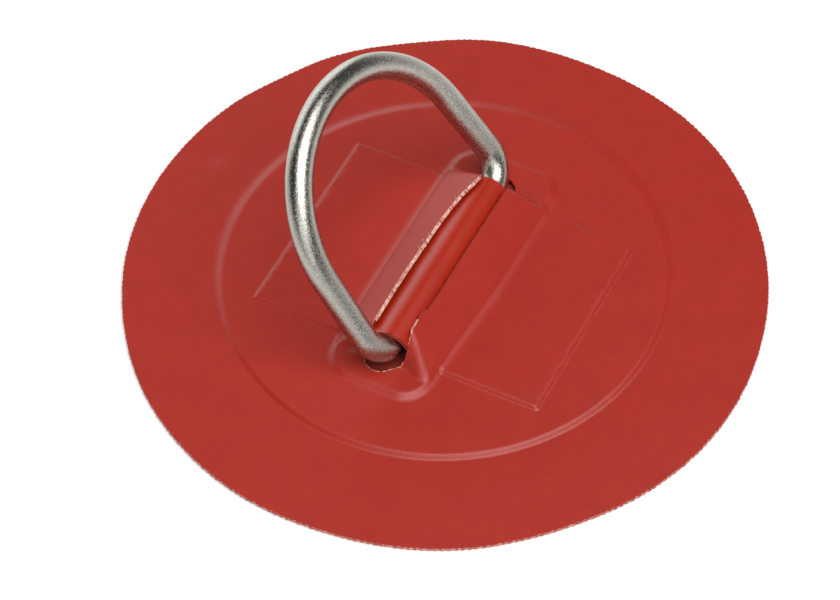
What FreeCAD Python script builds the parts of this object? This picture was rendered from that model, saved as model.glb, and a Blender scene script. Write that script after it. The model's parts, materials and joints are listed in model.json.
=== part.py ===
"""Bonded D-ring patch (pad eye) for an inflatable boat.

A stainless D-ring stands up through a slot in a round patch of PVC-coated fabric. A loop strap folded over the ring's
straight bar holds it; the strap's two tails lie opposite ways on a small base disc, a doubler stiffens the slot, and
the large cover disc lies over them all, with a margin that is bonded to the hull round the base disc.

Frame: X along the ring's bar, Y along the strap, Z up. The origin is at the centre of the patch's underside.
Every driving size is a cell of the sheet "Dimensions"; millimetres and degrees.
"""

import FreeCAD, Part
import math
import os
import re
import Sketcher
from FreeCAD import Vector

# ---------------------------------------------------------------- driving sizes
SIZES = [
    ("cover_diameter", 140.0, "large disc, its margin bonded to the hull"),
    ("base_diameter", 96.0, "small disc under the strap"),
    ("cover_sheet", 0.8, "coated fabric of the cover"),
    ("base_sheet", 0.8, "coated fabric of the base disc"),
    ("doubler_sheet", 0.8, "coated fabric of the slot's doubler"),
    ("strap_sheet", 1.1, "coated webbing of the loop strap"),
    ("strap_reach", 33.4, "end of each tail, from the bar"),
    ("strap_side_gap", 4.9, "what the strap is narrower than the ring's inside"),
    ("loop_angle", 42.0, "slope of the strap between its tails and the bar"),
    ("wire_diameter", 6.0, "round stainless wire of the ring"),
    ("ring_inner_width", 52.4, "widest inside the ring, along the bar"),
    ("ring_inner_height", 42.4, "inside the ring, bar to arch"),
    ("ring_corner_inner", 3.8, "inside radius of the two lower corners"),
    ("ring_arch_inner", 25.15, "inside radius of the arch"),
    ("ring_lean", 34.5, "rest position, from upright towards +Y"),
    ("bar_play", 0.55, "all round the bar inside the loop"),
    ("bar_lift", 0.8, "under the bar, above the base disc"),
    ("lip_gap", 0.8, "between the loop and each lip of the slot"),
    ("slot_end_room", 1.6, "length of the slot beyond the wire's own line"),
    ("doubler_end_border", 3.0, "doubler beyond each end of the slot"),
    ("doubler_side_border", 1.1, "doubler beyond each foot of the loop"),
    ("doubler_corner", 5.0, "corner radius of the doubler"),
]

doc = FreeCAD.newDocument("dring_patch")
sheet = doc.addObject("Spreadsheet::Sheet", "Dimensions")
for row, (alias, value, note) in enumerate(SIZES, start=1):
    sheet.set(f"A{row}", alias)
    sheet.set(f"B{row}", str(value))
    sheet.setAlias(f"B{row}", alias)
    sheet.set(f"C{row}", note)
doc.recompute()

# ---------------------------------------------------------------- sizes that follow from the driving ones
DERIVED = [
    ("bar_height", "base_sheet + bar_lift + wire_diameter / 2"),
    ("strap_top", "base_sheet + strap_sheet"),
    ("strap_width", "ring_inner_width - strap_side_gap"),
    ("loop_inner", "wire_diameter / 2 + bar_play"),
    ("loop_outer", "loop_inner + strap_sheet"),
    ("doubler_outer", "loop_outer + doubler_sheet"),
    ("cover_outer", "doubler_outer + cover_sheet"),
    # where the loop's outer face, tangent to its round top, comes down on the tails
    ("loop_foot", "(loop_outer + (bar_height - strap_top) * cos(loop_angle)) / sin(loop_angle)"),
    ("slot_width", "2 * (loop_outer + lip_gap)"),
    ("slot_length", "ring_inner_width + wire_diameter + slot_end_room"),
    ("doubler_length", "slot_length + 2 * doubler_end_border"),
    ("doubler_width", "2 * (loop_foot + doubler_side_border)"),
    ("corner_centreline", "ring_corner_inner + wire_diameter / 2"),
    ("corner_offset", "ring_inner_width / 2 - ring_corner_inner"),
    ("arch_centreline", "ring_arch_inner + wire_diameter / 2"),
    ("arch_offset", "ring_inner_height + wire_diameter / 2 - ring_arch_inner"),
    ("above_all", "bar_height + cover_outer + wire_diameter"),
]

derived = doc.addObject("App::VarSet", "Derived")


def in_sheet(expression):
    """The expression with its names as cells of the sheet or derived values, and angles in degrees."""
    expression = re.sub(r"(sin|cos)\((\w+)\)", r"\1(\2 * 1 deg)", expression)
    aliases = {alias for alias, _, _ in SIZES}

    def full_name(match):
        return f"{'Dimensions' if match[0] in aliases else 'Derived'}.{match[0]}"

    return re.sub(r"\b[a-z]+(?:_[a-z]+)+\b", full_name, expression)


def bind(obj, **sizes):
    """Bind an object's properties to the sheet; two underscores stand for the dot of a nested property."""
    for name, expression in sizes.items():
        obj.setExpression(name.replace("__", "."), in_sheet(expression))


def size(name):
    """One named size as a number, for the first shape of a sketch before its constraints are bound."""
    return getattr(derived, name) if hasattr(derived, name) else float(sheet.get(name))


for name, expression in DERIVED:
    derived.addProperty("App::PropertyFloat", name, "Sizes")
    bind(derived, **{name: expression})
doc.recompute()


# ---------------------------------------------------------------- helpers
def new_body(name):
    return doc.addObject("PartDesign::Body", name)


def new_sketch(body, name, plane):
    """A sketch on one of the body's own origin planes."""
    sketch = body.newObject("Sketcher::SketchObject", name)
    origin_plane = next(f for f in body.Origin.OriginFeatures if f.Role == plane)
    sketch.AttachmentSupport = [(origin_plane, "")]
    sketch.MapMode = "FlatFace"
    return sketch


def constrain(sketch, *relations):
    for relation in relations:
        sketch.addConstraint(Sketcher.Constraint(*relation))


def dimension(sketch, name, expression, *relation):
    """A driving dimension, named and bound to the sheet."""
    place = sketch.addConstraint(Sketcher.Constraint(*relation))
    sketch.renameConstraint(place, name)
    sketch.setExpression(f"Constraints.{name}", in_sheet(expression))


def box(name, length, width, height, bottom="0 * cover_sheet"):
    """A block centred on the Z axis."""
    block = doc.addObject("Part::Box", name)
    bind(
        block,
        Length=length,
        Width=width,
        Height=height,
        Placement__Base__x=f"-({length}) / 2",
        Placement__Base__y=f"-({width}) / 2",
        Placement__Base__z=bottom,
    )
    return block


def disc(name, diameter, height):
    cylinder = doc.addObject("Part::Cylinder", name)
    bind(cylinder, Radius=f"({diameter}) / 2", Height=height)
    return cylinder


def fuse(name, *shapes):
    joined = doc.addObject("Part::MultiFuse", name)
    joined.Shapes = list(shapes)
    joined.Refine = True
    return joined


def boolean(kind, name, base, tool):
    result = doc.addObject(f"Part::{kind}", name)
    result.Base = base
    result.Tool = tool
    result.Refine = True
    return result


def loop_prism(name, radius, half_grow="0 * cover_sheet"):
    """The tent of the loop over the bar, filled: two slopes tangent to a round top, standing on the base disc."""
    top_radius = size(radius)
    slope = math.radians(size("loop_angle"))
    height, floor = size("bar_height"), size("base_sheet")
    touch = Vector(top_radius * math.sin(slope), height + top_radius * math.cos(slope), 0)
    foot = Vector((top_radius + (height - floor) * math.cos(slope)) / math.sin(slope), floor, 0)
    mirrored_touch, mirrored_foot = Vector(-touch.x, touch.y, 0), Vector(-foot.x, foot.y, 0)

    body = new_body(name)
    sketch = new_sketch(body, f"{name}_outline", "YZ_Plane")
    circle = Part.Circle(Vector(0, height, 0), Vector(0, 0, 1), top_radius)
    quarter = math.pi / 2
    right, top, left, bottom = sketch.addGeometry(
        [
            Part.LineSegment(foot, touch),
            Part.ArcOfCircle(circle, quarter - slope, quarter + slope),
            Part.LineSegment(mirrored_touch, mirrored_foot),
            Part.LineSegment(mirrored_foot, foot),
        ]
    )
    constrain(
        sketch,
        ("Tangent", right, 2, top, 1),
        ("Tangent", top, 2, left, 1),
        ("Coincident", left, 2, bottom, 1),
        ("Coincident", bottom, 2, right, 1),
        ("PointOnObject", top, 3, -2),
        ("Symmetric", bottom, 1, bottom, 2, -2),
    )
    dimension(sketch, "radius", radius, "Radius", top, top_radius)
    dimension(sketch, "centre", "bar_height", "DistanceY", -1, 1, top, 3, height)
    dimension(sketch, "floor", "base_sheet", "DistanceY", -1, 1, bottom, 1, floor)
    dimension(sketch, "slope", "180 - loop_angle", "Angle", right, math.pi - slope)

    pad = body.newObject("PartDesign::Pad", f"{name}_pad")
    pad.Profile = sketch
    pad.SideType = "Symmetric"
    bind(pad, Length=f"strap_width + 2 * ({half_grow})")
    return body


def hull(name, grow, loop_radius):
    """Everything under a sheet, grown by the sheets that lie on it: base disc, tails and loop, all filled."""
    return fuse(
        name,
        disc(f"{name}_disc", f"base_diameter + 2 * ({grow})", f"base_sheet + {grow}"),
        box(f"{name}_tails", f"strap_width + 2 * ({grow})", f"2 * (strap_reach + {grow})", f"strap_top + {grow}"),
        loop_prism(f"{name}_loop", loop_radius, grow),
    )


def rounded_block(name, grow):
    """The doubler's outline as a tall block with round corners, grown all round."""
    length, width = size("doubler_length"), size("doubler_width")
    body = new_body(name)
    sketch = new_sketch(body, f"{name}_outline", "XY_Plane")
    corners = [
        Vector(x * length / 2, y * width / 2, 0) for x, y in ((-1, -1), (1, -1), (1, 1), (-1, 1))
    ]
    sides = sketch.addGeometry([Part.LineSegment(corners[i], corners[(i + 1) % 4]) for i in range(4)])
    for side in range(4):
        constrain(sketch, ("Coincident", sides[side], 2, sides[(side + 1) % 4], 1))
    constrain(
        sketch,
        ("Horizontal", sides[0]),
        ("Horizontal", sides[2]),
        ("Vertical", sides[1]),
        ("Vertical", sides[3]),
        ("Symmetric", sides[0], 1, sides[2], 1, -1, 1),
    )
    dimension(sketch, "length", f"doubler_length + 2 * ({grow})", "DistanceX", sides[0], 1, sides[0], 2, length)
    dimension(sketch, "width", f"doubler_width + 2 * ({grow})", "DistanceY", sides[1], 1, sides[1], 2, width)

    pad = body.newObject("PartDesign::Pad", f"{name}_pad")
    pad.Profile = sketch
    bind(pad, Length="above_all")
    doc.recompute()

    upright = [
        f"Edge{number}"
        for number, edge in enumerate(pad.Shape.Edges, start=1)
        if abs(edge.tangentAt(edge.FirstParameter).z) > 0.99
    ]
    rounding = body.newObject("PartDesign::Fillet", f"{name}_corners")
    rounding.Base = (pad, upright)
    bind(rounding, Radius=f"doubler_corner + {grow}")
    return body


def slot_prism(name):
    """The slot as a tall solid with round ends."""
    middle = box(f"{name}_middle", "slot_length - slot_width", "slot_width", "above_all")
    ends = []
    for side, sign in (("far", ""), ("near", "-")):
        end = disc(f"{name}_{side}_end", "slot_width", "above_all")
        bind(end, Placement__Base__x=f"{sign}(slot_length - slot_width) / 2")
        ends.append(end)
    return fuse(name, middle, *ends)


# ---------------------------------------------------------------- sub-parts
def make_base_disc():
    """Small disc at the bottom, bonded to the hull inside the cover's margin."""
    body = new_body("BaseDisc")
    sketch = new_sketch(body, "BaseDisc_outline", "XY_Plane")
    rim = sketch.addGeometry(Part.Circle(Vector(0, 0, 0), Vector(0, 0, 1), size("base_diameter") / 2))
    constrain(sketch, ("Coincident", rim, 3, -1, 1))
    dimension(sketch, "diameter", "base_diameter", "Diameter", rim, size("base_diameter"))
    pad = body.newObject("PartDesign::Pad", "BaseDisc_pad")
    pad.Profile = sketch
    bind(pad, Length="base_sheet")
    return body


def make_loop_strap():
    """The strap: two flat tails and a loop over the bar, open underneath."""
    tails = box("Strap_tails", "strap_width", "2 * strap_reach", "strap_sheet", "base_sheet")
    filled = fuse("Strap_filled", tails, loop_prism("Strap_outer", "loop_outer"))
    return boolean("Cut", "LoopStrap", filled, loop_prism("Strap_hollow", "loop_inner", "wire_diameter"))


def make_slot_doubler(outline, under_doubler, slot):
    """The doubler, draped over the base disc, the tails and the loop, with the slot through it."""
    draped = boolean("Common", "Doubler_draped", outline, hull("Over_strap", "doubler_sheet", "doubler_outer"))
    below = boolean("Cut", "Doubler_unslotted", draped, under_doubler)
    return draped, boolean("Cut", "SlotDoubler", below, slot)


def make_cover_disc(under_doubler, doubler_filled, slot):
    """The cover, draped over all the layers, its margin down on the hull, with the slot through it."""
    grown_outline = rounded_block("Cover_outline", "cover_sheet")
    over_doubler = boolean(
        "Common", "Cover_over_doubler", grown_outline, hull("Over_all", "(doubler_sheet + cover_sheet)", "cover_outer")
    )
    filled = fuse(
        "Cover_filled",
        disc("Cover_margin", "cover_diameter", "cover_sheet"),
        hull("Over_base", "cover_sheet", "doubler_outer"),
        over_doubler,
    )
    layers_below = fuse("Cover_below", under_doubler, doubler_filled)
    return boolean("Cut", "CoverDisc", boolean("Cut", "Cover_unslotted", filled, layers_below), slot)


def make_d_ring():
    """Round wire bent to a D and welded: straight bar, two round corners, leaning legs and a round arch."""
    corner, arch = size("corner_centreline"), size("arch_centreline")
    corner_x, arch_y = size("corner_offset"), size("arch_offset")
    # Both circles lie on the inner side of the leg, so the leg's outward normal turns up by leg_turn.
    gap = math.hypot(corner_x, arch_y - corner)
    leg_turn = math.acos((arch - corner) / gap) - math.atan2(arch_y - corner, corner_x)
    outward = Vector(math.cos(leg_turn), math.sin(leg_turn), 0)
    mirrored = Vector(-outward.x, outward.y, 0)
    corner_centre = Vector(corner_x, corner, 0)
    left_centre = Vector(-corner_x, corner, 0)
    arch_centre = Vector(0, arch_y, 0)
    up = Vector(0, 0, 1)

    body = new_body("DRing")
    spine = new_sketch(body, "DRing_line", "XZ_Plane")
    bar, corner_a, leg_a, top, leg_b, corner_b, bar_b = spine.addGeometry(
        [
            Part.LineSegment(Vector(0, 0, 0), Vector(corner_x, 0, 0)),
            Part.ArcOfCircle(Part.Circle(corner_centre, up, corner), -math.pi / 2, leg_turn),
            Part.LineSegment(corner_centre + outward * corner, arch_centre + outward * arch),
            Part.ArcOfCircle(Part.Circle(arch_centre, up, arch), leg_turn, math.pi - leg_turn),
            Part.LineSegment(arch_centre + mirrored * arch, left_centre + mirrored * corner),
            Part.ArcOfCircle(Part.Circle(left_centre, up, corner), math.pi - leg_turn, 3 * math.pi / 2),
            Part.LineSegment(Vector(-corner_x, 0, 0), Vector(0, 0, 0)),
        ]
    )
    constrain(
        spine,
        ("Coincident", bar, 1, -1, 1),
        ("Tangent", bar, 2, corner_a, 1),
        ("Tangent", corner_a, 2, leg_a, 1),
        ("Tangent", leg_a, 2, top, 1),
        ("Tangent", top, 2, leg_b, 1),
        ("Tangent", leg_b, 2, corner_b, 1),
        ("Tangent", corner_b, 2, bar_b, 1),
        ("Coincident", bar_b, 2, -1, 1),
        ("Horizontal", bar),
        ("Horizontal", bar_b),
        ("Equal", bar, bar_b),
        ("Equal", corner_a, corner_b),
        ("PointOnObject", top, 3, -2),
    )
    dimension(spine, "corner", "corner_centreline", "Radius", corner_a, corner)
    dimension(spine, "bar_half", "corner_offset", "DistanceX", bar, 1, bar, 2, corner_x)
    dimension(spine, "arch", "arch_centreline", "Radius", top, arch)
    dimension(spine, "arch_centre", "arch_offset", "DistanceY", -1, 1, top, 3, arch_y)

    section = new_sketch(body, "DRing_section", "YZ_Plane")
    wire = section.addGeometry(Part.Circle(Vector(0, 0, 0), up, size("wire_diameter") / 2))
    constrain(section, ("Coincident", wire, 3, -1, 1))
    dimension(section, "diameter", "wire_diameter", "Diameter", wire, size("wire_diameter"))

    pipe = body.newObject("PartDesign::AdditivePipe", "DRing_wire")
    pipe.Profile = section
    pipe.Spine = (spine, [f"Edge{number}" for number in range(1, 8)])
    body.Placement = FreeCAD.Placement(Vector(0, 0, 0), FreeCAD.Rotation(Vector(-1, 0, 0), size("ring_lean")))
    bind(body, Placement__Base__z="bar_height", Placement__Rotation__Angle="ring_lean")
    return body


# ---------------------------------------------------------------- assembly, checks and files
doubler_outline = rounded_block("Doubler_outline", "0 * cover_sheet")
beneath_doubler = hull("Layers_below", "0 * cover_sheet", "loop_outer")
slot_cutter = slot_prism("Slot")
filled_doubler, slot_doubler = make_slot_doubler(doubler_outline, beneath_doubler, slot_cutter)

SUB_PARTS = {
    "base_disc": make_base_disc(),
    "loop_strap": make_loop_strap(),
    "slot_doubler": slot_doubler,
    "cover_disc": make_cover_disc(beneath_doubler, filled_doubler, slot_cutter),
    "d_ring": make_d_ring(),
}
for node, sub_part in SUB_PARTS.items():
    sub_part.Label = node
doc.recompute()

for obj in doc.Objects:
    faults = {"Invalid", "Error"} & set(obj.State)
    if faults:
        raise RuntimeError(f"{obj.Name} is {sorted(faults)}")
for obj in doc.Objects:
    if obj.TypeId == "Sketcher::SketchObject" and obj.solve() != 0:
        raise RuntimeError(f"{obj.Name} doesn't solve")

os.makedirs("parts", exist_ok=True)
for node, sub_part in SUB_PARTS.items():
    shape = sub_part.Shape
    if shape.isNull() or not shape.isValid() or len(shape.Solids) != 1:
        raise RuntimeError(f"{node} isn't one valid solid")
for node, sub_part in SUB_PARTS.items():
    sub_part.Shape.exportStep(f"parts/{node}.step")
    bounds = sub_part.Shape.BoundBox
    print(
        f"{node}: {sub_part.Shape.Volume:.1f} mm3, X {bounds.XMin:.2f} to {bounds.XMax:.2f},"
        f" Y {bounds.YMin:.2f} to {bounds.YMax:.2f}, Z {bounds.ZMin:.2f} to {bounds.ZMax:.2f}"
    )
line_length = SUB_PARTS["d_ring"].Group[0].Shape.Length
print(f"ring wire: section times length {math.pi * (size('wire_diameter') / 2) ** 2 * line_length:.1f} mm3")
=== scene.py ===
# %% [markdown]
# # A bonded D-ring patch, cell by cell
# The object is a pad eye for an inflatable boat. A stainless D-ring stands in a slot in a round red
# patch. The patch is four pieces of PVC-coated polyester welded on top of each other: a small base disc,
# a strap looped over the ring's bar, a doubler that stiffens the slot, and a large cover disc. The CAD
# model holds the sizes and the hinge. This file makes what the eye sees: sheets that drape over each
# other's edges, cut edges with pale threads, and a tumbled steel wire.

# %% The frame
import bisect
import json
import math

import bmesh
import bpy
from mathutils import Matrix, Vector, noise
from mathutils.geometry import interpolate_bezier


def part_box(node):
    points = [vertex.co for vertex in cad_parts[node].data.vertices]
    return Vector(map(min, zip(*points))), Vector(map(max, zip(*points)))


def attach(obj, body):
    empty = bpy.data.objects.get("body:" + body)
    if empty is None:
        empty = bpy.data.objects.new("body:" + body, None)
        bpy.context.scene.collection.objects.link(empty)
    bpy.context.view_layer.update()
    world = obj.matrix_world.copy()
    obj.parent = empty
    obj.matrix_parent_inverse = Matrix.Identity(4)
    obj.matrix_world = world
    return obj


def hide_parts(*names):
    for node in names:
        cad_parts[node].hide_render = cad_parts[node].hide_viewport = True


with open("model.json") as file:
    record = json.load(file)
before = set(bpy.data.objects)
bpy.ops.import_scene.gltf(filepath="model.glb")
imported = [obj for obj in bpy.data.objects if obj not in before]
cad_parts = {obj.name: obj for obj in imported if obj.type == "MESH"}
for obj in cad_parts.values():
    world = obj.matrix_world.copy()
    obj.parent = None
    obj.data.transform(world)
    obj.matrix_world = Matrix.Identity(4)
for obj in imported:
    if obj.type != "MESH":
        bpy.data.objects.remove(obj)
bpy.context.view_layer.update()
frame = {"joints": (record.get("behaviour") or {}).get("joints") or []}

# %% [markdown]
# ## Sizes
# Lengths here are millimetres, because fabric and wire are bought in millimetres, and a mesh is scaled to
# metres once, as it is finished. The main sizes are read from the CAD model's boxes and its hinge, so
# that they can't drift. A few that a box doesn't show, such as the radii of the ring's bends, are written
# here again.

# %% Sizes read from the CAD model
MM = 0.001


def box_mm(node):
    low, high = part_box(node)
    return low / MM, high / MM


cover_low, cover_high = box_mm("cover_disc")
base_low, base_high = box_mm("base_disc")
strap_low, strap_high = box_mm("loop_strap")
doubler_low, doubler_high = box_mm("slot_doubler")
ring_low, ring_high = box_mm("d_ring")

cover_radius = cover_high.x
base_radius = (base_high.y - base_low.y) / 2
sheet = base_high.z
strap_half_width = strap_high.x
strap_reach = strap_high.y
doubler_half = Vector((doubler_high.x, doubler_high.y))
bar_height = frame["joints"][0]["pos_m"][2] / MM
wire_radius = bar_height - ring_low.z
loop_radius = strap_high.z - bar_height
print("radii of cover, base and wire", [round(size, 2) for size in (cover_radius, base_radius, wire_radius)])
print("thickness of a sheet", round(sheet, 2))

# %% Sizes chosen for the looks
STRAP_SHEET = 1.1  # mm, the strap is thicker than the other sheets
DOUBLER_CORNER = 5.0  # mm radius
RING_LEAN = math.radians(34.5)  # from upright, towards +Y, as the CAD model's ring leans at rest
print("the ring leans", round(math.degrees(RING_LEAN), 1), "degrees")

# %% [markdown]
# ## Camera
# A long lens from above and to one side keeps the disc's ellipse calm and shows the ring, the slot and
# the tube at once. The camera is placed by azimuth, elevation and distance round a target, and then
# rolled a little.

# %% Camera
CAMERA_TARGET = Vector((-7.9, 2.0, 0.0)) * MM
CAMERA_DISTANCE = 710.5 * MM
CAMERA_AZIMUTH = math.radians(-60.88)
CAMERA_ELEVATION = math.radians(52.34)
CAMERA_ROLL = math.radians(-2.53)
CAMERA_LENS = 141.0


def make_camera():
    level_part = math.cos(CAMERA_ELEVATION)
    back = Vector((
        math.sin(CAMERA_AZIMUTH) * level_part,
        -math.cos(CAMERA_AZIMUTH) * level_part,
        math.sin(CAMERA_ELEVATION),
    ))
    right = Vector((math.cos(CAMERA_AZIMUTH), math.sin(CAMERA_AZIMUTH), 0))
    level = Matrix((right, back.cross(right), back)).transposed()
    camera = bpy.data.objects.new("camera", bpy.data.cameras.new("camera"))
    camera.data.lens = CAMERA_LENS
    camera.data.clip_start = 0.01
    place = level.to_4x4() @ Matrix.Rotation(CAMERA_ROLL, 4, "Z")
    camera.matrix_world = Matrix.Translation(CAMERA_TARGET + back * CAMERA_DISTANCE) @ place
    bpy.context.scene.collection.objects.link(camera)
    bpy.context.scene.camera = camera
    print("camera", round(CAMERA_DISTANCE, 3), "m away, with a lens of", CAMERA_LENS, "mm")


make_camera()

# %% [markdown]
# ## Node helper and colours
# A material is a small graph. One function adds a node and sets its inputs, and links those that are
# given as another node's output. Colours are sRGB hex values, as in a colour picker, and one function
# turns them to the linear light that the shader wants.

# %% Node helper and colours


def linear(hex_colour):
    """An sRGB hex colour as linear RGBA."""
    channels = [int(hex_colour[i : i + 2], 16) / 255 for i in (0, 2, 4)]
    return [c / 12.92 if c <= 0.04045 else ((c + 0.055) / 1.055) ** 2.4 for c in channels] + [1.0]


def set_inputs(tree, node, **inputs):
    """Sets or links a node's inputs, by name with _ for a space, or by number as i0, i1 and so on."""
    for name, value in inputs.items():
        key = int(name[1:]) if name[0] == "i" and name[1:].isdigit() else name.replace("_", " ")
        if isinstance(value, bpy.types.NodeSocket):
            tree.links.new(value, node.inputs[key])
        else:
            node.inputs[key].default_value = value


def add_node(tree, kind, settings=None, **inputs):
    """A node of that kind, with its settings and its inputs."""
    node = tree.nodes.new(kind)
    for name, value in (settings or {}).items():
        setattr(node, name, value)
    set_inputs(tree, node, **inputs)
    return node


def new_material(name):
    """An empty material, its node tree, and its surface shader."""
    material = bpy.data.materials.new(name)
    material.use_nodes = True
    tree = material.node_tree
    tree.nodes.clear()
    shader = add_node(tree, "ShaderNodeBsdfPrincipled")
    add_node(tree, "ShaderNodeOutputMaterial", Surface=shader.outputs[0])
    return material, tree, shader


print("mid grey is", round(linear("808080")[0], 3), "in linear light")

# %% [markdown]
# ## PVC-coated polyester
# Boat fabric is a plain weave of polyester, nine threads to the centimetre, buried in soft PVC. The coat
# is smooth and half glossy, so the threads only show as a faint relief where light grazes it. The colour
# is in the coat and even, with slow, faint changes. Its IOR is that of PVC. The relief is made of two
# crossed sine waves a thread apart, an orange-peel grain and slow dents from handling.

# %% Coated fabric
THREAD_PITCH = 1.05  # mm, one thread and its gap
ORANGE_PEEL = 0.35  # mm, grain of the calendered coat
DENT_SPAN = 14.0  # mm, slow waves left by handling
TONE_SPAN = 6.0  # mm, faint changes of colour
GRAIN_DEPTH, WEAVE_DEPTH, DENT_DEPTH = 0.03, 0.03, 0.4  # mm of relief
PVC_IOR = 1.53


def coated_fabric(name, colour, shade, roughness, weave_relief):
    material, tree, shader = new_material(name)
    place = add_node(tree, "ShaderNodeTexCoord").outputs["Object"]
    in_mm = add_node(tree, "ShaderNodeMapping", Vector=place, Scale=(1 / MM,) * 3).outputs[0]
    axes = add_node(tree, "ShaderNodeSeparateXYZ", Vector=in_mm)
    turn = 2 * math.pi / THREAD_PITCH
    multiply, sine = {"operation": "MULTIPLY"}, {"operation": "SINE"}
    across_x = add_node(tree, "ShaderNodeMath", multiply, i0=axes.outputs["X"], i1=turn).outputs[0]
    across_y = add_node(tree, "ShaderNodeMath", multiply, i0=axes.outputs["Y"], i1=turn).outputs[0]
    warp = add_node(tree, "ShaderNodeMath", sine, i0=across_x).outputs[0]
    weft = add_node(tree, "ShaderNodeMath", sine, i0=across_y).outputs[0]
    weave = add_node(tree, "ShaderNodeMath", multiply, i0=warp, i1=weft).outputs[0]
    grain = add_node(tree, "ShaderNodeTexNoise", Vector=in_mm, Scale=1 / ORANGE_PEEL, Detail=2.0).outputs[0]
    dents = add_node(tree, "ShaderNodeTexNoise", Vector=in_mm, Scale=1 / DENT_SPAN, Detail=1.0).outputs[0]
    patches = add_node(tree, "ShaderNodeTexNoise", Vector=in_mm, Scale=1 / TONE_SPAN, Detail=4.0).outputs[0]

    faint_shade = add_node(
        tree, "ShaderNodeMapRange", Value=patches, From_Min=0.35, From_Max=0.75, To_Min=0.0, To_Max=0.55
    ).outputs[0]
    tone = add_node(
        tree, "ShaderNodeMix", {"data_type": "RGBA"}, i0=faint_shade, i6=linear(colour), i7=linear(shade)
    )
    gloss = add_node(
        tree, "ShaderNodeMapRange", Value=grain, From_Min=0.3, From_Max=0.7,
        To_Min=roughness - 0.04, To_Max=roughness + 0.05,
    ).outputs[0]
    relief = add_node(
        tree, "ShaderNodeBump", Height=dents, Strength=0.35, Distance=DENT_DEPTH * MM
    ).outputs[0]
    relief = add_node(
        tree, "ShaderNodeBump", Height=grain, Strength=0.25, Distance=GRAIN_DEPTH * MM, Normal=relief
    ).outputs[0]
    relief = add_node(
        tree, "ShaderNodeBump", Height=weave, Strength=weave_relief, Distance=WEAVE_DEPTH * MM, Normal=relief
    ).outputs[0]
    set_inputs(tree, shader, Base_Color=tone.outputs[2], Roughness=gloss, IOR=PVC_IOR, Normal=relief)
    return material


cover_fabric = coated_fabric("pvc_coated_polyester_cover", "a82514", "9e2010", 0.4, 0.15)
strap_fabric = coated_fabric("pvc_coated_webbing_strap", "aa240a", "9f1e08", 0.32, 0.1)
under_fabric = coated_fabric("pvc_coated_polyester_underside", "983024", "8c281d", 0.5, 0.4)
print("fabrics:", cover_fabric.name, strap_fabric.name, under_fabric.name)

# %% [markdown]
# Where a knife or die cuts the fabric, the white polyester threads show between the two red coats, as a
# dotted pale line with tiny teeth. The cut is its own material on the narrow edge faces. It reads Object
# coordinates, so its dots keep their size round every edge. The slot's cut is painted darker red with dull
# threads: painted shade for the dark gap under the lips and beside the tube.

# %% Cut edge
CUT_THREADS = 2 / 3  # mm between the ends of threads
FUZZ_DEPTH = 0.1  # mm of relief


def cut_edge(name, coat, threads):
    material, tree, shader = new_material(name)
    place = add_node(tree, "ShaderNodeTexCoord").outputs["Object"]
    in_mm = add_node(tree, "ShaderNodeMapping", Vector=place, Scale=(1 / MM,) * 3).outputs[0]
    dots = add_node(
        tree, "ShaderNodeTexNoise", Vector=in_mm, Scale=1 / CUT_THREADS, Detail=3.0, Roughness=0.7
    ).outputs[0]
    ends = add_node(tree, "ShaderNodeMapRange", Value=dots, From_Min=0.42, From_Max=0.6).outputs[0]
    tone = add_node(
        tree, "ShaderNodeMix", {"data_type": "RGBA"}, i0=ends, i6=linear(coat), i7=linear(threads)
    )
    fuzz = add_node(tree, "ShaderNodeBump", Height=dots, Strength=0.6, Distance=FUZZ_DEPTH * MM).outputs[0]
    set_inputs(tree, shader, Base_Color=tone.outputs[2], Roughness=0.8, IOR=1.5, Normal=fuzz)
    return material


rim_cut = cut_edge("cut_edge_rim", "a4382c", "d8988c")
# painted shade: the slot's cut is darker red with dull threads, for the shadowed gap under the lips; the
# doubler's and the strap's edges use it too
shaded_lip_cut = cut_edge("cut_edge_slot_painted_shade", "8c2018", "a83c30")
thread_fringe = cut_edge("polyester_thread_fringe", "c87868", "f4d0c4")
print("cut edges:", rim_cut.name, shaded_lip_cut.name, thread_fringe.name)

# %% [markdown]
# ## Tumbled stainless steel
# The ring is bent from bright drawn wire and tumbled in stone chips, which leaves a satin skin of tiny
# pits over faint drawing lines that run along the wire. The pits scatter the reflections into a fine
# grain; the lines stretch them along the wire. The lines follow the ring's own UV map, whose two axes are
# millimetres along and round the wire.

# %% Tumbled steel
PIT_SIZE = 0.32  # mm; real pits are finer, and this is as coarse as the picture needs
LINE_WIDTH = 0.12  # mm across a drawing line
LINE_LENGTH = 9.0  # mm along one
WORN_SPAN = 3.0  # mm, duller places
LINE_DEPTH, PIT_DEPTH = 0.02, 0.08  # mm of relief


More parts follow.
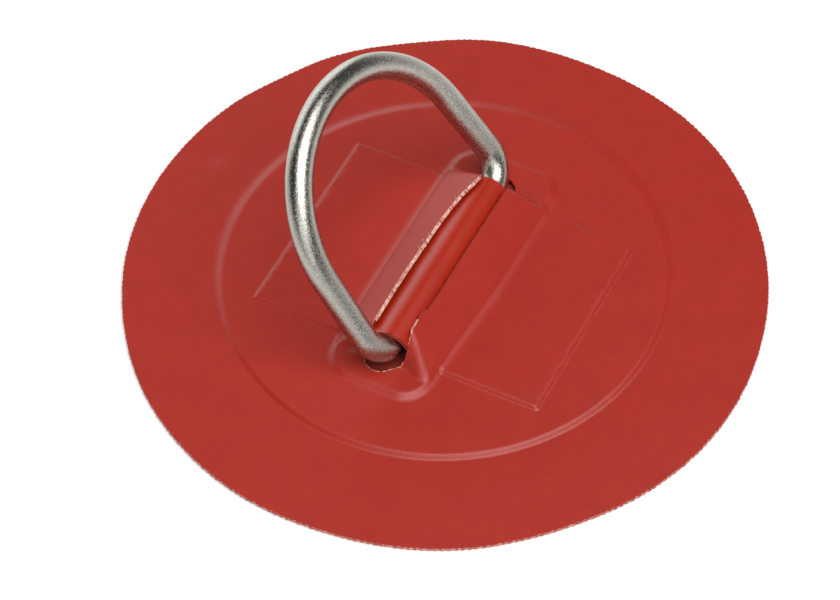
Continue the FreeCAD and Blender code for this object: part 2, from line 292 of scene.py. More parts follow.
def tumbled_steel():
    material, tree, shader = new_material("tumbled_stainless_steel")
    uv = add_node(tree, "ShaderNodeUVMap", {"uv_map": "along_and_round"}).outputs[0]
    place = add_node(tree, "ShaderNodeTexCoord").outputs["Object"]
    in_mm = add_node(tree, "ShaderNodeMapping", Vector=place, Scale=(1 / MM,) * 3).outputs[0]
    stretched = add_node(
        tree, "ShaderNodeMapping", Vector=uv, Scale=(1 / LINE_LENGTH, 1 / LINE_WIDTH, 1.0)
    ).outputs[0]
    lines = add_node(tree, "ShaderNodeTexNoise", Vector=stretched, Scale=1.0, Detail=2.0).outputs[0]
    pits = add_node(
        tree, "ShaderNodeTexNoise", Vector=in_mm, Scale=1 / PIT_SIZE, Detail=2.0, Roughness=0.6
    ).outputs[0]
    worn = add_node(tree, "ShaderNodeTexNoise", Vector=in_mm, Scale=1 / WORN_SPAN, Detail=3.0).outputs[0]
    roughness = add_node(
        tree, "ShaderNodeMapRange", Value=pits, From_Min=0.3, From_Max=0.7, To_Min=0.15, To_Max=0.29
    ).outputs[0]
    grains = add_node(tree, "ShaderNodeMapRange", Value=pits, From_Min=0.38, From_Max=0.62).outputs[0]
    fresh = add_node(
        tree, "ShaderNodeMix", {"data_type": "RGBA"}, i0=grains, i6=linear("9c9a90"), i7=linear("d8d5cc")
    ).outputs[2]
    tone = add_node(
        tree, "ShaderNodeMix", {"data_type": "RGBA"}, i0=worn, i6=fresh, i7=linear("aeaba2")
    ).outputs[2]
    relief = add_node(
        tree, "ShaderNodeBump", Height=lines, Strength=0.18, Distance=LINE_DEPTH * MM
    ).outputs[0]
    relief = add_node(
        tree, "ShaderNodeBump", Height=pits, Strength=0.8, Distance=PIT_DEPTH * MM, Normal=relief
    ).outputs[0]
    set_inputs(tree, shader, Base_Color=tone, Metallic=1.0, Roughness=roughness, Normal=relief)
    return material


ring_steel = tumbled_steel()
print("metal:", ring_steel.name)

# %% [markdown]
# ## How the sheets drape
# The sheets could be draped by a cloth simulation, but welded fabric doesn't hang: a press forces each
# sheet down over the edges beneath it. So the height of the cover at any place is the pile of layers
# there, and each edge below is a short slope, as wide as the cloth needs to bend. Over the loop the cover
# is a tent, held up by the tube and open at the slot. One function gives that height, and the doubler
# uses the same tent and the same steps over the strap.

# %% Height of the cover over the pile
EDGE_SLOPE = 0.9  # mm that the cloth takes to step down one layer
SOFT_BASE_SLOPE = 2.8  # mm, where the press was softer on the base disc's edge
BRIDGE = 4.5  # mm that the doubler takes to bridge the strap's side edge
TAIL_SHEET = 0.62  # mm, the tails as the press left them
TENT_FOOT = 12.0  # mm from the bar to where the tent meets the flat pile, just beyond the doubler's edge
TENT_NEAR, TENT_FAR = -24.9, 22.4  # mm along the bar, where the tent begins to fall
NEAR_FALL, FAR_FALL = 1.7, 1.8  # its slopes there, steep enough to leave the swinging ring room
EARLY_FALL = 1.4  # mm sooner that it begins to fall beside the slot
EARLY_FROM, EARLY_TO = 9.0, 3.0  # mm from the bar between which that grows
FOOT_ROUNDING, HIP_ROUNDING = 0.9, 3.4  # mm of height over which its slopes blend
DOUBLER_SLOPE = 2.2  # mm, as the doubler is thinner at its edge
# the base disc's flatter side: its direction and reach in degrees, and how many mm it lacks
FLAT_SIDE, FLAT_SIDE_REACH, FLAT_SIDE_DEPTH = 35, 65, 0.6
# the doubler's narrower corner: the share it lacks, and in mm along the bar, where it starts and its run
SQUEEZE, SQUEEZE_FROM, SQUEEZE_RUN = 0.125, 6.0, 34.0
# the slot's lips: (mm along the bar, mm from the bar, mm above the hull)
LEFT_LIP = [
    (-26, 5.1, 8.6), (-10.8, 5.3, 8.6), (2.1, 5.0, 8.6), (8.3, 4.8, 8.7), (15.3, 3.8, 9.3), (21.2, 2.1, 10.3),
]
RIGHT_LIP = [(-26, 4.0, 9.05), (21.8, 4.4, 8.95)]


def smooth(value):
    value = min(max(value, 0.0), 1.0)
    return value * value * (3 - 2 * value)


def along_line(points, x):
    """The other values of a line of points, at a place between them."""
    for (x0, *low), (x1, *high) in zip(points, points[1:]):
        if x <= x1 or (x1, *high) == points[-1]:
            part = min(max((x - x0) / (x1 - x0), 0.0), 1.0)
            return [a + (b - a) * part for a, b in zip(low, high)]


def outside_rectangle(x, y, half_x, half_y, corner=0.0):
    """Distance outside a rectangle with round corners, negative inside."""
    over_x, over_y = abs(x) - half_x + corner, abs(y) - half_y + corner
    outside = math.hypot(max(over_x, 0), max(over_y, 0))
    return outside + min(max(over_x, over_y), 0) - corner


def layer(distance, slope):
    """1 on a layer, 0 beyond the slope at its edge."""
    return 1 - smooth(distance / slope)


def base_slope(x, y):
    """Soft along the far side, crisp on the near side."""
    return EDGE_SLOPE + (SOFT_BASE_SLOPE - EDGE_SLOPE) * smooth(0.5 + (0.8 * x + 0.6 * y) / base_radius)


def base_edge(x, y):
    """The base disc's radius, which was cut a little flat at one side."""
    from_flat_side = abs((math.degrees(math.atan2(y, x)) - FLAT_SIDE + 180) % 360 - 180)
    return base_radius - FLAT_SIDE_DEPTH * smooth(1 - from_flat_side / FLAT_SIDE_REACH)


def doubler_squeeze(x, y):
    """The share of its width that the doubler keeps there: it was cut a little narrow at one corner."""
    return 1 - SQUEEZE * smooth((SQUEEZE_FROM - x) / SQUEEZE_RUN) if y < 0 else 1.0


def above_zero(value, blend):
    """The value, or zero where it is negative, with a rounded corner between the two."""
    if abs(value) >= blend:
        return max(value, 0.0)
    return (value + blend) ** 2 / (4 * blend)


def tent(x, y):
    """How far the loop lifts the cover above the flat pile: a hip roof with rounded ridges."""
    from_bar, top = along_line(LEFT_LIP if y > 0 else RIGHT_LIP, x)
    height = top - 3 * sheet - TAIL_SHEET
    foot = TENT_FOOT * doubler_squeeze(x, y)
    side = height * (foot - abs(y)) / (foot - from_bar)
    early = EARLY_FALL * smooth((EARLY_FROM - abs(y)) / (EARLY_FROM - EARLY_TO))
    end = height - max(NEAR_FALL * (TENT_NEAR - x + early), FAR_FALL * (x - TENT_FAR))
    lower = side - above_zero(side - end, HIP_ROUNDING)
    return above_zero(lower, FOOT_ROUNDING)


def over_strap(x, y, under_doubler):
    """The tails lift the sheets crisply, but the stiff doubler bridges the strap's side edges softly."""
    outside = outside_rectangle(x, y, strap_half_width, strap_reach)
    crisp = layer(outside, EDGE_SLOPE)
    return crisp + (layer(outside + BRIDGE / 3, BRIDGE) - crisp) * under_doubler


def flat_pile(x, y):
    """Top of the cover with no tent."""
    over_base = layer(math.hypot(x, y) - base_edge(x, y), base_slope(x, y))
    square_y = y / doubler_squeeze(x, y)
    outside = outside_rectangle(x, square_y, doubler_half.x, doubler_half.y, DOUBLER_CORNER)
    over_doubler = layer(outside, DOUBLER_SLOPE)
    return sheet * (1 + over_base + over_doubler) + TAIL_SHEET * over_strap(x, y, over_doubler)


def cover_top(x, y):
    return flat_pile(x, y) + tent(x, y)


print("the cover's top beside the slot is", round(cover_top(0, 6), 2), "mm above the hull")


# %% [markdown]
# ## Outlines
# The cover's mesh is a nest of closed rings that all have the same number of points: the slot, the
# doubler's outline, the base disc's edge and the rim. Rings that follow the edges give clean steps, which
# a square grid would turn into stairs. Each outline is walked by its own length, from the +X axis round
# towards +Y.

# %% Outlines
AROUND = 640  # points in every ring
SLOT_BENDS = 10  # straight pieces between two points of the slot's edge


def stadium(share, half_length, half_width, corner):
    """A point on a rectangle with round corners, a share of the way round it."""
    straight_x, straight_y = 2 * (half_length - corner), 2 * (half_width - corner)
    arc = math.pi / 2 * corner
    walk = share * (2 * straight_x + 2 * straight_y + 4 * arc)
    x, y = half_length, 0.0
    heading = math.pi / 2
    for length, bend in (
        (straight_y / 2, False), (arc, True), (straight_x, False), (arc, True), (straight_y, False),
        (arc, True), (straight_x, False), (arc, True), (straight_y / 2, False),
    ):
        step = min(walk, length)
        if bend:
            turn = step / corner
            x += corner * (math.sin(heading + turn) - math.sin(heading))
            y += corner * (math.cos(heading) - math.cos(heading + turn))
            heading += turn
        else:
            x += step * math.cos(heading)
            y += step * math.sin(heading)
        walk -= step
        if walk <= 1e-9:
            break
    return Vector((x, y))


def circle(share, radius):
    angle = 2 * math.pi * share
    return Vector((radius * math.cos(angle), radius * math.sin(angle)))


# the slot's edge in mm along and across the bar, walked from its far end round by the left lip; it was cut by
# hand, so its lips stray and its near end is a narrow notch beside the wire
SLOT_EDGE = [
    (29.2, 0.2), (28.8, 2.6), (27.3, 4.3), (25.3, 4.6), (23.9, 3.7), (22.7, 2.3), (21.2, 2.1), (15.3, 3.8),
    (8.3, 4.8), (2.1, 5.0), (-10.8, 5.3), (-22.5, 5.1), (-27.0, 5.0), (-29.4, 4.0), (-30.5, 1.6),
    (-30.1, -0.3), (-28.7, -1.8), (-27.0, -3.4), (-25.4, -3.9), (-23.3, -3.7), (-16.3, -3.6),
    (-15.4, -4.15), (0.0, -4.25), (21.8, -4.4), (25.0, -4.3), (27.4, -3.6), (28.9, -1.8),
]


def smooth_loop(points):
    """A closed smooth line through the points, as a list of places and how far along each lies."""
    knots = [Vector(point) for point in points]
    count = len(knots)
    heading = [(knots[(i + 1) % count] - knots[i - 1]).normalized() for i in range(count)]
    places = []
    for i in range(count):
        start, end = knots[i], knots[(i + 1) % count]
        reach = (end - start).length / 3
        handles = start + heading[i] * reach, end - heading[(i + 1) % count] * reach
        places += interpolate_bezier(start, *handles, end, SLOT_BENDS + 1)[:-1]
    places.append(places[0])
    walked = [0.0]
    for start, end in zip(places, places[1:]):
        walked.append(walked[-1] + (end - start).length)
    return places, walked


slot_places, slot_walked = smooth_loop(SLOT_EDGE)
print("the slot's edge is", round(slot_walked[-1], 1), "mm long")


def slot_outline(share, back=0.0):
    """A point on the slot's edge, a share of the way round; back moves it away from the slot."""
    walk = (share % 1.0) * slot_walked[-1]
    after = min(bisect.bisect_right(slot_walked, walk), len(slot_walked) - 1)
    start, end = slot_places[after - 1], slot_places[after]
    part = (walk - slot_walked[after - 1]) / (slot_walked[after] - slot_walked[after - 1])
    along = (end - start).normalized()
    return start.lerp(end, part) + Vector((along.y, -along.x)) * back


# %% [markdown]
# ## Growing a sheet ring by ring
# The mesh starts as a circle of edges from the create operator, laid on the first outline. Each next ring
# is an extrusion of the last one's edges, moved to the next outline. Long straight edges of the strap
# cross these rings, so bisect cuts run along them, and only then are the heights set. Solidify gives the
# sheet its thickness and puts the cut-edge material on its rim.

# %% Growing a sheet
CUT = 1  # the place of the cut's material in a sheet's list, after the coat; Solidify puts it on the rim
CREASE = math.radians(50)  # a sharper edge than this breaks the smooth shading
CUT_SNAP = 0.02  # mm, within which a bisect cut takes a vertex that is there already


def grow_rings(outlines):
    """A flat sheet through closed outlines, each a function of the share of the way round."""
    mesh = bmesh.new()
    share = mesh.verts.layers.float.new("share")
    ring = bmesh.ops.create_circle(mesh, segments=AROUND, radius=1.0)["verts"]
    for number, vertex in enumerate(ring):
        vertex[share] = number / AROUND
        vertex.co = outlines[0](vertex[share]).to_3d()
    edges = list(mesh.edges)
    for outline in outlines[1:]:
        grown = bmesh.ops.extrude_edge_only(mesh, edges=edges)["geom"]
        for vertex in (g for g in grown if isinstance(g, bmesh.types.BMVert)):
            vertex.co = outline(vertex[share]).to_3d()
        edges = [g for g in grown if isinstance(g, bmesh.types.BMEdge) and g.is_boundary]
    return mesh


def between(inner, outer, part):
    """An outline part of the way from one outline to another."""
    return lambda share: inner(share).lerp(outer(share), part)


def cut_along(mesh, point, normal, keep):
    """A bisect cut through the faces whose middle passes the test, for a straight line along an edge."""
    faces = [face for face in mesh.faces if keep(face.calc_center_median())]
    # a dict keeps its order, so that every run cuts in the same order; a set wouldn't
    edges = dict.fromkeys(edge for face in faces for edge in face.edges)
    verts = dict.fromkeys(vertex for face in faces for vertex in face.verts)
    bmesh.ops.bisect_plane(
        mesh, geom=[*verts, *edges, *faces], plane_co=point, plane_no=normal, dist=CUT_SNAP
    )


def new_piece(name, mesh, materials):
    """The bmesh, in millimetres, as an object in metres at the origin."""
    bmesh.ops.scale(mesh, vec=(MM, MM, MM), verts=mesh.verts)
    data = bpy.data.meshes.new(name)
    mesh.to_mesh(data)
    mesh.free()
    piece = bpy.data.objects.new(name, data)
    bpy.context.scene.collection.objects.link(piece)
    for material in materials:
        data.materials.append(material)
    return piece


def finish_sheet(piece, thickness):
    """Thickness below the surface, the cut edge on the rim, and smooth shading that breaks at the cut."""
    # the surface has to face up before it gets its thickness, or the sheet grows upwards
    if sum(face.normal.z * face.area for face in piece.data.polygons) < 0:
        piece.data.flip_normals()
    solid = piece.modifiers.new("thickness", "SOLIDIFY")
    solid.thickness = thickness * MM
    solid.offset = -1.0
    solid.material_offset_rim = CUT
    bpy.context.view_layer.update()
    evaluated = piece.evaluated_get(bpy.context.evaluated_depsgraph_get())
    thick = bpy.data.meshes.new_from_object(evaluated)
    piece.modifiers.clear()
    piece.data = thick
    thick.shade_smooth()
    thick.set_sharp_from_angle(angle=CREASE)
    thick.calc_loop_triangles()
    print(piece.name, "has", len(thick.loop_triangles), "triangles")
    return piece


# %% [markdown]
# ## The cover disc
# The cover is the piece that the eye meets first: one big disc, cut by hand, so it is a millimetre or two
# out of round here and there, with teeth of cut thread all round its rim. Its rings run from the slot's
# lips, over the tent, round the doubler's outline, and out over the base disc's edge to the rim.

# %% The cover's rings
RIM_CUT, THREADS = 2, 3  # the cover's other materials, after the coat and the cut at the slot
RIM_TOOTH, LIP_TOOTH = 0.09, 0.12  # mm, depth of a tooth at the rim and at the slot
TOOTH_PITCH = 1.1  # mm between teeth at the slot
FRINGE = 0.1  # mm of bare thread along a lip
RIGHT_FRINGE_END = -19.0  # mm along the bar, up to where the right lip shows its threads
# direction in degrees from +X, half width in degrees, and mm: where the cut strays from a true circle
RIM_STRAYS = [
    (35, 62, -1.45), (32, 15, -0.5), (60, 12, -0.6), (-8, 30, -1.0), (85, 30, -0.4), (150, 30, 0.7),
    (170, 20, 0.5), (-150, 60, 0.9), (-135, 20, -0.45), (-102, 30, 0.75), (-42, 35, -0.35),
]
TENT_RINGS, PLAIN_RINGS, MARGIN_RINGS = 14, 24, 10  # rings from one outline to the next
DOUBLER_STEP = (0.3, 0.6, 0.9, 1.2, 1.6)  # mm outside the doubler's outline, rings over its edge
BASE_STEP = (-0.2, 0.2, 0.6, 1.0, 1.4, 2.2, 3.2)  # mm outside the base disc, rings over its edge
BASE_STEP_START = -0.6  # mm, where the plain rings end
LAST_RING = 0.985  # share of the margin, just inside the teeth
STRAP_STEP = (0.0, 0.4, 0.8, 1.2)  # mm outside the strap, straight cuts along its edges
CUT_REACH, CUT_OVERRUN = 6, 3  # mm: faces that a cut may touch, and how far it runs past the strap's corner


def unit_noise(value, seed=0.0):
    """A repeatable number from -1 to 1 that changes from one whole value to the next."""
    return noise.noise(Vector((value * 1.37 + 0.41, seed + 0.23, 0.61))) * 2


def rim_outline(share):
    angle = (360 * share + 180) % 360 - 180
    radius = cover_radius
    for direction, half_width, stray in RIM_STRAYS:
        apart = abs((angle - direction + 180) % 360 - 180)
        radius += stray * smooth(1 - apart / half_width)
    number = round(share * AROUND)
    radius += RIM_TOOTH * (1 if number % 2 else -1) * (1 + 0.6 * unit_noise(number, 3.0))
    return circle(share, radius)


def lip_outline(share):
    walk = share * slot_walked[-1] / TOOTH_PITCH
    tooth = 2 * abs(walk % 1 - 0.5) - 0.5 + 0.6 * unit_noise(walk * 1.9, 8.0)
    return slot_outline(share, back=-LIP_TOOTH * tooth)


def doubler_outline(share, out=0.0):
    point = stadium(share, doubler_half.x + out, doubler_half.y + out, DOUBLER_CORNER + out)
    point.y *= doubler_squeeze(*point)
    return point


def cover_outlines():
    """Closed lines from the slot's lip out to the rim."""
    fringe = lambda share: slot_outline(share, FRINGE)
    last_step = lambda share: doubler_outline(share, DOUBLER_STEP[-1])
    base_start = lambda share: circle(share, base_radius + BASE_STEP_START)
    rim_start = lambda share: circle(share, base_radius + BASE_STEP[-1])
    outlines = [lip_outline, fringe]
    outlines += [
        between(fringe, doubler_outline, part / TENT_RINGS) for part in range(1, TENT_RINGS + 1)
    ]
    outlines += [lambda share, out=out: doubler_outline(share, out) for out in DOUBLER_STEP]
    outlines += [
        between(last_step, base_start, part / PLAIN_RINGS) for part in range(1, PLAIN_RINGS + 1)
    ]
    outlines += [lambda share, out=out: circle(share, base_radius + out) for out in BASE_STEP]
    outlines += [between(rim_start, rim_outline, part / MARGIN_RINGS) for part in range(1, MARGIN_RINGS)]
    return outlines + [between(rim_start, rim_outline, LAST_RING), rim_outline]


def cut_along_strap(mesh):
    """Straight lines over the strap's four edges, where the cover steps down."""
    most_x, most_y = strap_half_width + CUT_OVERRUN, strap_reach + CUT_OVERRUN
    for out in STRAP_STEP:
        for side in (-1, 1):
            edge = side * (strap_half_width + out)
            cut_along(
                mesh, (edge, 0, 0), (1, 0, 0),
                lambda c, e=edge: abs(c.x - e) < CUT_REACH and CUT_REACH < abs(c.y) < most_y,
            )
            edge = side * (strap_reach + out)
            cut_along(
                mesh, (0, edge, 0), (0, 1, 0),
                lambda c, e=edge: abs(c.y - e) < CUT_REACH and abs(c.x) < most_x,
            )


def make_cover():
    mesh = grow_rings(cover_outlines())
    cut_along_strap(mesh)
    for face in mesh.faces:
        middle = face.calc_center_median()
        at_lip = any(edge.is_boundary for edge in face.edges) and middle.length < base_radius
        if at_lip and (middle.y > 0 or middle.x < RIGHT_FRINGE_END):
            face.material_index = THREADS
    for vertex in mesh.verts:
        vertex.co.z = cover_top(vertex.co.x, vertex.co.y) + handling(vertex.co.x, vertex.co.y)
    return mesh


# %% [markdown]
# Handling leaves the free margin slightly wavy, and a few soft dents in it. They are small, but the
# glossy coat turns them into slow changes of light.

# %% Handling
WAVE_SPAN, WAVE_HEIGHT = 26.0, 0.15  # mm
FREE_FROM, FREE_RUN = 1.0, 12.0  # mm outside the base disc where the waves begin, and mm over which they grow
FLOOR_GAP = 0.05  # mm that the underside of the margin keeps above the hull
# place, radius and depth in mm of single dents in the margin
DENTS = [(Vector((8, 62)), 5.0, -0.35), (Vector((-2, 61)), 3.0, 0.25), (Vector((-38, 44)), 9.0, -0.3)]


def handling(x, y):
    radius = math.hypot(x, y)
    free = smooth((radius - base_radius - FREE_FROM) / FREE_RUN)
    height = free * WAVE_HEIGHT * (1 + noise.noise(Vector((x, y, 4.0)) / WAVE_SPAN))
    for place, reach, depth in DENTS:
        height += depth * smooth(1 - (Vector((x, y)) - place).length / reach)
    return max(height, FLOOR_GAP - sheet) if free else height


cover_materials = [cover_fabric, shaded_lip_cut, rim_cut, thread_fringe]
cover = finish_sheet(new_piece("cover_sheet", make_cover(), cover_materials), sheet)
# Solidify knows one cut only: the rim gets its own, and threads stay on top of the lip alone; the lip's sides
# keep the slot's cut, painted darker as shade
for face in cover.data.polygons:
    if face.material_index == CUT and face.center.xy.length > base_radius * MM:
        face.material_index = RIM_CUT
    if face.material_index == THREADS and face.normal.z < 0.5:
        face.material_index = CUT

# %% [markdown]
# ## Doubler and base disc
# Both are mostly hidden, but the doubler's edge shows inside the slot and the base disc shows from below.
# They are grown from rings too. The doubler follows the tent one sheet lower, and the base disc is flat.

# %% Doubler and base disc
DOUBLER_BACK = 0.7  # mm that the doubler's slot is cut wider than the cover's
DOUBLER_RINGS = 18
TENT_CLEAR = 0.25  # share of a sheet that it keeps below the tent
TENT_CLEAR_LIFT = 2.0  # mm of lift over which that grows
BASE_RINGS = (0, 0.2, 0.5, 0.8, 1.0)  # shares of the way from a small hub to the edge
HUB = 0.5  # mm radius
PRESSED = 0.98  # share of its thickness that a hidden sheet is drawn with, to keep off its neighbour


def make_doubler():
    inner = lambda share: slot_outline(share, DOUBLER_BACK)
    rings = [between(inner, doubler_outline, part / DOUBLER_RINGS) for part in range(DOUBLER_RINGS + 1)]
    mesh = grow_rings(rings)
    for vertex in mesh.verts:
        x, y = vertex.co.xy
        lift = tent(x, y)
        flat = 2 * sheet + TAIL_SHEET * over_strap(x, y, 1.0)
        vertex.co.z = flat + lift - TENT_CLEAR * sheet * smooth(lift / TENT_CLEAR_LIFT)
    return mesh


def make_base():
    rim = lambda share: circle(share, base_radius + RIM_TOOTH * (1 if round(share * AROUND) % 2 else -1))
    hub = lambda share: circle(share, HUB)
    mesh = grow_rings([between(hub, rim, part) for part in BASE_RINGS])
    hole = [edge for edge in mesh.edges if edge.is_boundary and edge.verts[0].co.length < 2 * HUB]
    bmesh.ops.holes_fill(mesh, edges=hole, sides=0)
    bmesh.ops.translate(mesh, vec=(0, 0, sheet), verts=mesh.verts)
    return mesh


doubler = finish_sheet(new_piece("doubler_sheet", make_doubler(), [cover_fabric, shaded_lip_cut]), sheet * PRESSED)
base = finish_sheet(new_piece("base_sheet", make_base(), [under_fabric, rim_cut]), sheet * PRESSED)

# %% [markdown]
# ## The strap round the bar
# The strap is one band: flat tail, slope, a turn over the bar, slope, flat tail. Its section is drawn
# with a vertex that is spun for each bend and extruded for each straight, and the section is then
# extruded along the bar. The loop leans: on the +Y side the band leaves the tube as flat as the cover
# over it and bends down late, and on the -Y side it dives at once, which leaves a dark crack beside the
# lip.

# %% The loop strap
SHOULDER_SLOPE, SHOULDER = math.radians(31), 4.4  # the +Y side's first slope, and its length in mm
FLANK_SLOPES = (math.radians(54), math.radians(58))  # on the +Y side and on the -Y side
FOOT_BEND, SHOULDER_BEND = 2.5, 3.0  # mm radius of the bends
TOP_STEPS, BEND_STEPS, FOOT_STEPS = 14, 4, 6  # steps of the turn over the bar and of the bends
SHOULDER_STEPS, FLANK_STEPS, TAIL_STEPS = 4, 6, 8  # steps of the straights
STRAP_STEPS = 56  # steps along the bar
LOOP_SHIFT = -1.2  # mm along the bar that the loop has crept from the tails' middle
SHIFT_FROM, SHIFT_RUN = 2.2, 4.5  # mm above the hull where that begins, and mm over which it grows
PRESS_FROM, PRESS_RUN = 8, 4  # mm from the bar where the press thins the band, and mm over which it does


def turn(mesh, vertex, centre, angle, steps):
    """Spins a vertex about a line along the bar and gives back the last new one."""
    spun = bmesh.ops.spin(
        mesh, geom=[vertex], cent=centre, axis=(-1, 0, 0), dvec=(0, 0, 0), angle=angle, steps=steps
    )
    return next(g for g in spun["geom_last"] if isinstance(g, bmesh.types.BMVert))


def extrude_vertex(mesh, vertex, offset, steps):
    """Extrudes a vertex in equal steps and gives back the last new one."""
    for _ in range(steps):
        grown = bmesh.ops.extrude_vert_indiv(mesh, verts=[vertex])["verts"][0]
        bmesh.ops.translate(mesh, vec=offset / steps, verts=[grown])
        vertex = grown
    return vertex


def strap_half(mesh, top, shoulder, side):
    """The outer face's line across the bar, from the middle of the top to the end of one tail."""
    slope = FLANK_SLOPES[0 if side > 0 else 1]
    first = SHOULDER_SLOPE if shoulder else slope
    last = turn(mesh, top, (0, 0, bar_height), side * first, TOP_STEPS)
    if shoulder:
        down = Vector((0, math.cos(first), -math.sin(first)))
        last = extrude_vertex(mesh, last, down * shoulder, SHOULDER_STEPS)
        centre = last.co - Vector((0, math.sin(first), math.cos(first))) * SHOULDER_BEND
        last = turn(mesh, last, centre, slope - first, BEND_STEPS)
    back = FOOT_BEND * math.tan(slope / 2)
    length = (last.co.z - sheet - STRAP_SHEET) / math.sin(slope) - back
    down = Vector((0, side * math.cos(slope), -math.sin(slope)))
    last = extrude_vertex(mesh, last, down * length, FLANK_STEPS)
    centre = last.co + Vector((0, side * math.sin(slope), math.cos(slope))) * FOOT_BEND
    last = turn(mesh, last, centre, -side * slope, FOOT_STEPS)
    extrude_vertex(mesh, last, Vector((0, side * strap_reach - last.co.y, 0)), TAIL_STEPS)


def strap_section(mesh):
    top = mesh.verts.new((0, 0, bar_height + loop_radius))
    strap_half(mesh, top, SHOULDER, 1)
    strap_half(mesh, top, 0, -1)
    bmesh.ops.remove_doubles(mesh, verts=mesh.verts, dist=0.001)


def make_strap():
    """The band's mesh, and the length of its section laid out flat."""
    mesh = bmesh.new()
    strap_section(mesh)
    length = sum(edge.calc_length() for edge in mesh.edges)
    bmesh.ops.translate(mesh, vec=(-strap_half_width, 0, 0), verts=mesh.verts)
    edges = list(mesh.edges)
    for _ in range(STRAP_STEPS):
        grown = bmesh.ops.extrude_edge_only(mesh, edges=edges)["geom"]
        verts = [g for g in grown if isinstance(g, bmesh.types.BMVert)]
        bmesh.ops.translate(mesh, vec=(2 * strap_half_width / STRAP_STEPS, 0, 0), verts=verts)
        edges = [g for g in grown if isinstance(g, bmesh.types.BMEdge) and len(g.link_faces) == 1
                 and abs(g.verts[0].co.x - g.verts[1].co.x) < 1e-6]
    for vertex in mesh.verts:
        vertex.co.x += LOOP_SHIFT * smooth((vertex.co.z - SHIFT_FROM) / SHIFT_RUN)
    bmesh.ops.recalc_face_normals(mesh, faces=mesh.faces)
    return mesh, length


band_mesh, band_length = make_strap()
strap = finish_sheet(new_piece("loop_band", band_mesh, [strap_fabric, shaded_lip_cut]), STRAP_SHEET)
for vertex in strap.data.vertices:
    from_bar = abs(vertex.co.y) / MM
    pressed = 1 - (1 - TAIL_SHEET / STRAP_SHEET) * smooth((from_bar - PRESS_FROM) / PRESS_RUN)
    vertex.co.z = sheet * MM + (vertex.co.z - sheet * MM) * pressed

# %% [markdown]
# ## The ring
# The ring is a circle of edges swept along the wire's line: straight along the bar, turned round a
# corner, up a leg, round the arch, and down again. Each step is an extrusion moved by one small matrix,
# so the section can't shear. Every vertex remembers how far along and how far round it lies, and that
# becomes the UV map for the drawing lines.

# %% The ring's line
CORNER_RADIUS = 6.8  # mm, centreline
ARCH_RADIUS = 28.15  # mm, centreline
WIRE_SEGMENTS = 48  # round the wire
BAR_STEPS, CORNER_STEPS = 24, 24  # along half the bar, and round a corner
LEG_STEPS, ARCH_STEPS = 14, 72  # along a leg, and round the arch
ring_half_width = ring_high.x - wire_radius
ring_height = (ring_high.z - wire_radius - bar_height) / math.cos(RING_LEAN)
print("the wire's line is", round(2 * ring_half_width, 1), "wide and", round(ring_height, 1), "mm high")


def ring_moves():
    """(matrix of a step, number of steps, length of a step) for each stretch of the upright ring."""
    corner_x = ring_half_width - CORNER_RADIUS
    arch_z = ring_height - ARCH_RADIUS
    rise = arch_z - CORNER_RADIUS
    gap = math.hypot(corner_x, rise)
    leg_turn = math.acos((ARCH_RADIUS - CORNER_RADIUS) / gap) - math.atan2(rise, corner_x)
    normal = Vector((math.cos(leg_turn), 0, math.sin(leg_turn)))
    corner = Vector((corner_x, 0, CORNER_RADIUS))
    arch = Vector((0, 0, arch_z))
    leg = (arch + normal * ARCH_RADIUS) - (corner + normal * CORNER_RADIUS)

    def straight(offset, steps):
        return Matrix.Translation(offset / steps), steps, offset.length / steps

    def bend(centre, radius, angle, steps):
        one_step = Matrix.Rotation(-angle / steps, 4, "Y")
        about = Matrix.Translation(centre) @ one_step @ Matrix.Translation(-centre)
        return about, steps, radius * angle / steps

    mirrored_leg = Vector((leg.x, 0, -leg.z))
    mirrored_corner = Vector((-corner_x, 0, CORNER_RADIUS))
    return [
        straight(Vector((corner_x, 0, 0)), BAR_STEPS),
        bend(corner, CORNER_RADIUS, math.pi / 2 + leg_turn, CORNER_STEPS),
        straight(leg, LEG_STEPS),
        bend(arch, ARCH_RADIUS, math.pi - 2 * leg_turn, ARCH_STEPS),
        straight(mirrored_leg, LEG_STEPS),
        bend(mirrored_corner, CORNER_RADIUS, math.pi / 2 + leg_turn, CORNER_STEPS),
        straight(Vector((corner_x, 0, 0)), BAR_STEPS),
    ]


# %% [markdown]
# The sweep runs on from one stretch to the next, so its last section should fall on its first. The
# printed gap shows how well the line closes. The UV map is written before the two ends are merged,
# because each end needs its own length along the wire.

# %% Sweeping the wire
whole_turn = 2 * math.pi * wire_radius


def sweep(mesh, edges, along):
    """Extrudes the section along the whole line, and gives back its last edges."""
    for matrix, steps, length in ring_moves():
        for _ in range(steps):
            grown = bmesh.ops.extrude_edge_only(mesh, edges=edges)["geom"]
            verts = [g for g in grown if isinstance(g, bmesh.types.BMVert)]
            bmesh.ops.transform(mesh, matrix=matrix, verts=verts)
            for vertex in verts:
                vertex[along] += length
            edges = [g for g in grown if isinstance(g, bmesh.types.BMEdge) and g.is_boundary]
    return edges


def write_uv(mesh, along, around):
    """Millimetres along and round the wire; a face across the start of the round gets the end's value."""
    uv = mesh.loops.layers.uv.new("along_and_round")
    for face in mesh.faces:
        wraps = max(loop.vert[around] for loop in face.loops) > whole_turn * 0.75
        for loop in face.loops:
            round_here = loop.vert[around]
            if wraps and round_here < whole_turn * 0.25:
                round_here += whole_turn
            loop[uv].uv = (loop.vert[along], round_here)


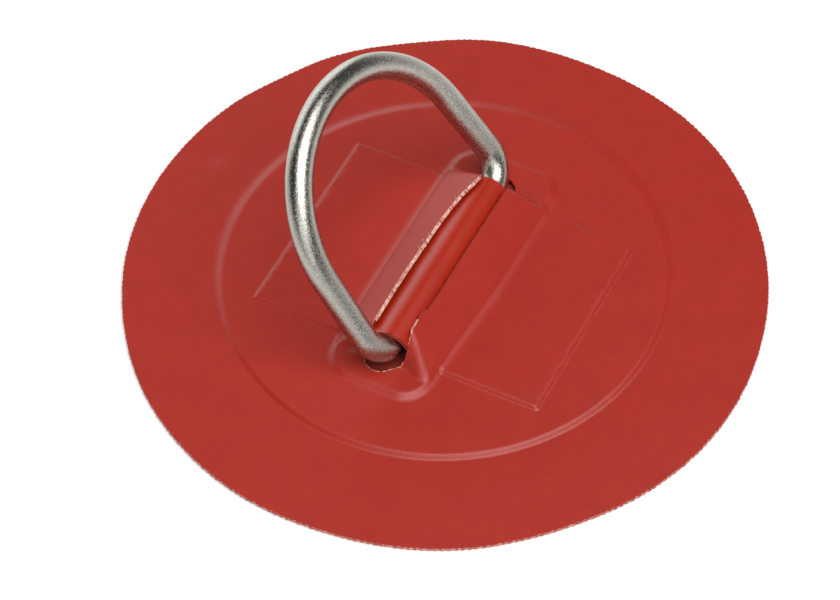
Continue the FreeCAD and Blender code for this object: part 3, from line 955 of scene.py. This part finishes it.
def make_ring():
    mesh = bmesh.new()
    along = mesh.verts.layers.float.new("along")
    around = mesh.verts.layers.float.new("around")
    section = bmesh.ops.create_circle(
        mesh, segments=WIRE_SEGMENTS, radius=wire_radius, matrix=Matrix.Rotation(math.pi / 2, 4, "Y")
    )["verts"]
    for number, vertex in enumerate(section):
        vertex[around] = whole_turn * number / WIRE_SEGMENTS
    last_edges = sweep(mesh, list(mesh.edges), along)
    closing_gap = max((vertex.co - section[0].co).length for vertex in last_edges[0].verts)
    print("the ring closes within", round(closing_gap, 3), "mm of its start's section")
    write_uv(mesh, along, around)
    bmesh.ops.remove_doubles(mesh, verts=mesh.verts, dist=0.01)
    bmesh.ops.recalc_face_normals(mesh, faces=mesh.faces)
    lean = Matrix.Translation((0, 0, bar_height)) @ Matrix.Rotation(-RING_LEAN, 4, "X")
    bmesh.ops.transform(mesh, matrix=lean, verts=mesh.verts)
    return mesh


ring = new_piece("wire_ring", make_ring(), [ring_steel])
ring.data.shade_smooth()

# %% [markdown]
# ## Floor and light
# The patch lies on a plain white table. A big soft panel hangs high above it, a smaller one fills from
# the camera's side, and a low wide one stands behind at the far left. Between the panels the room is
# dark, which gives the steel its dark bands: polished metal only looks like metal when it has something
# dark to mirror.

# %% Floor and light
FLOOR_SIZE = 4.0  # m
# name, place, width and height in metres, and watts
PANELS = [
    ("key_panel", (-0.1, -0.42, 1.15), 1.15, 1.15, 16.2),
    ("near_fill_panel", (-0.75, -0.25, 0.55), 0.8, 0.6, 2.0),
    ("far_wall_panel", (0.33, 0.57, 0.24), 0.9, 0.44, 1.7),
]
# what the room sends from the horizon up to the ceiling: (share of the way up, grey)
ROOM = [(0.0, 1.0), (0.04, 0.9), (0.16, 0.35), (0.34, 0.07), (0.62, 0.05), (0.86, 0.06), (1.0, 0.4)]


def make_floor():
    mesh = bmesh.new()
    bmesh.ops.create_grid(mesh, x_segments=8, y_segments=8, size=FLOOR_SIZE / 2)
    data = bpy.data.meshes.new("floor")
    mesh.to_mesh(data)
    mesh.free()
    floor = bpy.data.objects.new("floor", data)
    bpy.context.scene.collection.objects.link(floor)
    material, tree, shader = new_material("white_table")
    set_inputs(tree, shader, Base_Color=linear("fafafa"), Roughness=0.9)
    data.materials.append(material)


def soft_panel(name, place, width, height, power):
    """A white area light that looks at the patch."""
    light = bpy.data.lights.new(name, "AREA")
    light.shape = "RECTANGLE"
    light.size, light.size_y = width, height
    light.energy = power
    panel = bpy.data.objects.new(name, light)
    facing = (-Vector(place)).to_track_quat("-Z", "Y").to_matrix().to_4x4()
    panel.matrix_world = Matrix.Translation(place) @ facing
    bpy.context.scene.collection.objects.link(panel)


def make_room():
    """A world that changes from white at the horizon to dark higher up."""
    world = bpy.data.worlds.new("studio_room")
    world.use_nodes = True
    tree = world.node_tree
    direction = add_node(tree, "ShaderNodeTexCoord").outputs["Generated"]
    height = add_node(tree, "ShaderNodeSeparateXYZ", Vector=direction).outputs["Z"]
    ramp = add_node(tree, "ShaderNodeValToRGB", Fac=height)
    for place, _ in ROOM[1:-1]:
        ramp.color_ramp.elements.new(place)
    for element, (place, grey) in zip(ramp.color_ramp.elements, ROOM):
        element.position = place
        element.color = (grey, grey, grey, 1.0)
    tree.links.new(ramp.outputs[0], tree.nodes["Background"].inputs["Color"])
    bpy.context.scene.world = world


make_floor()
for panel in PANELS:
    soft_panel(*panel)
make_room()
print("floor, room and", len(PANELS), "panels")
bpy.context.scene.view_settings.view_transform = "Standard"

# %% [markdown]
# ## Handing the pieces over
# Each piece rides on its CAD body and stands for its CAD node, which is hidden. The table also gives each
# piece a material slot's name, which nothing reads. The areas that the sheets were cut to are worked out at
# the end, and are not kept.

# %% Bodies, nodes and slots
PIECES = [
    (cover, "patch", "cover_disc", "cover_fabric"),
    (doubler, "patch", "slot_doubler", "doubler_fabric"),
    (base, "patch", "base_disc", "base_fabric"),
    (strap, "patch", "loop_strap", "strap_webbing"),
    (ring, "ring", "d_ring", "ring_steel"),
]
for piece, body, node, slot in PIECES:
    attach(piece, body)
    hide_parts(node)


def outline_area(outline):
    """The area inside an outline, in square metres."""
    points = [outline(i / AROUND) for i in range(AROUND)]
    return abs(sum(a.cross(b) for a, b in zip(points, points[1:] + points[:1]))) / 2 * MM**2


doubler_slot = outline_area(lambda share: slot_outline(share, DOUBLER_BACK))
math.pi * (cover_radius * MM) ** 2 - outline_area(slot_outline)
outline_area(doubler_outline) - doubler_slot
